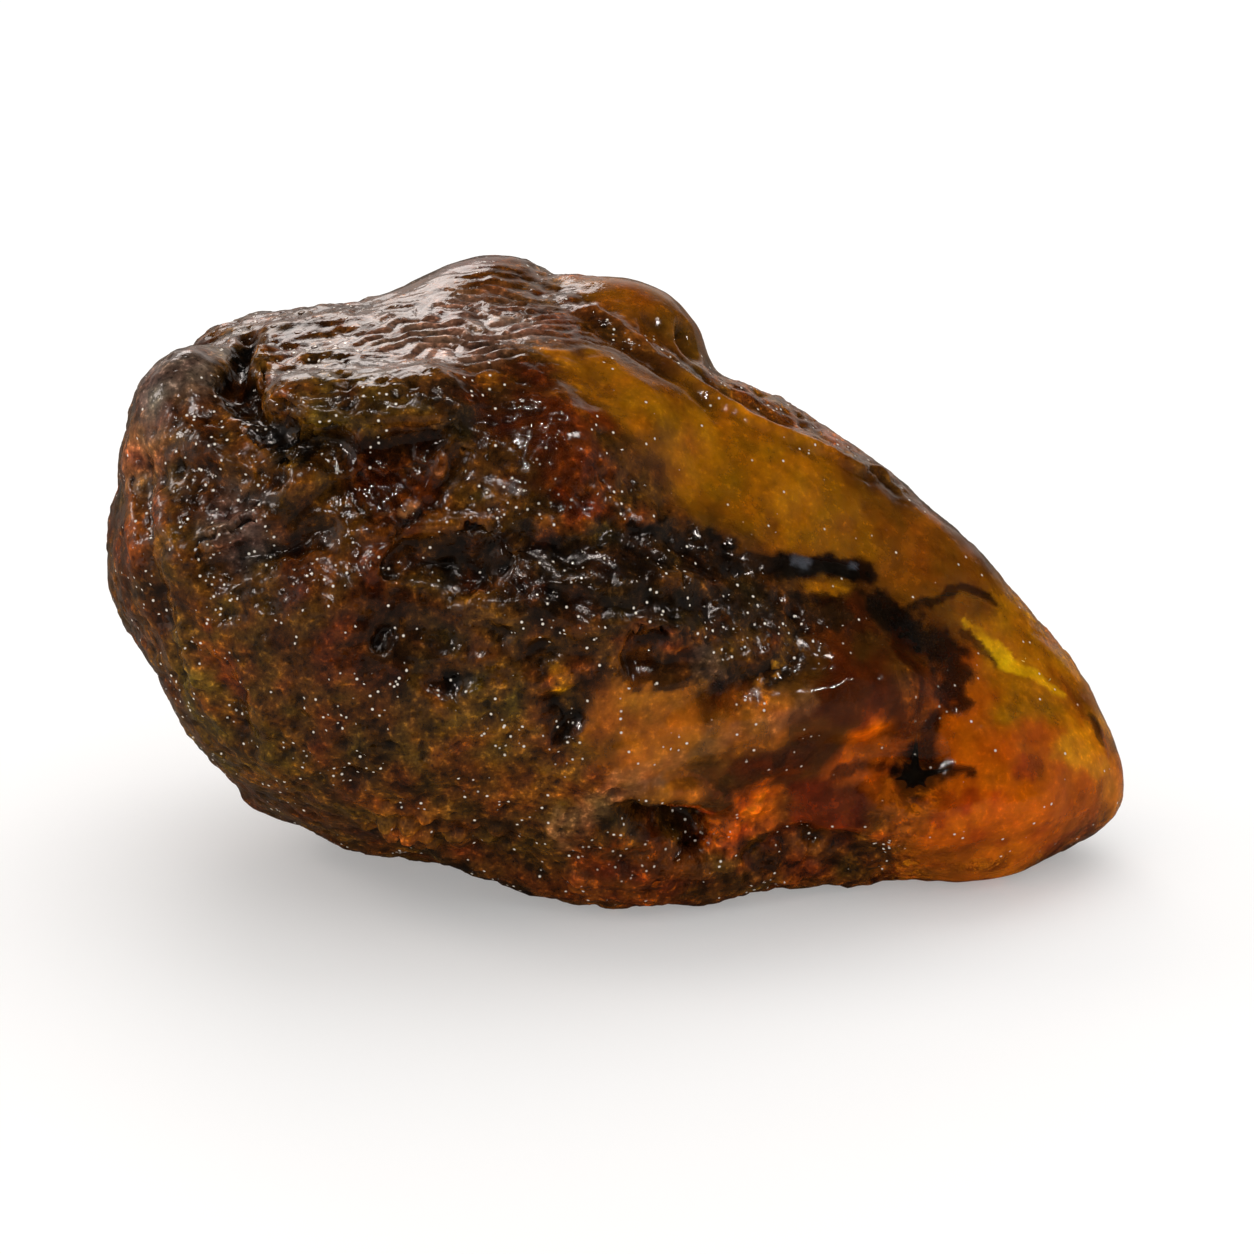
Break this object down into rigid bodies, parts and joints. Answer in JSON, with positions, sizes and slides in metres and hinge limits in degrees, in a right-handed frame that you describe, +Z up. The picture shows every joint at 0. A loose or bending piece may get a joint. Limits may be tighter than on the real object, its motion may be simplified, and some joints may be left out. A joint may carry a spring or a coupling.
{
  "type": "raw amber piece",
  "caption": "Uncut lump of amber with a weathered, pitted skin, a tall blunt end, a clear sloping face and a low rounded nose, for resting on a flat surface.",
  "frame": {"origin": "on the resting plane, under the middle of the lump's bounding box", "axes": "+X along the lump from its blunt end towards its nose, +Y from its front to its back, +Z up from the resting face"},
  "size_m": [0.055, 0.03, 0.0312],
  "materials": {
    "amber": "clear golden to orange resin under a wet-looking, pitted brown crust",
    "debris": "dull black and brown plant debris, sealed in the resin",
    "glint": "bright yellow faces of small cracks and gas films, sealed in the resin"
  },
  "bodies": {
    "root": {"amber": "amber"}
  },
  "joints": []
}
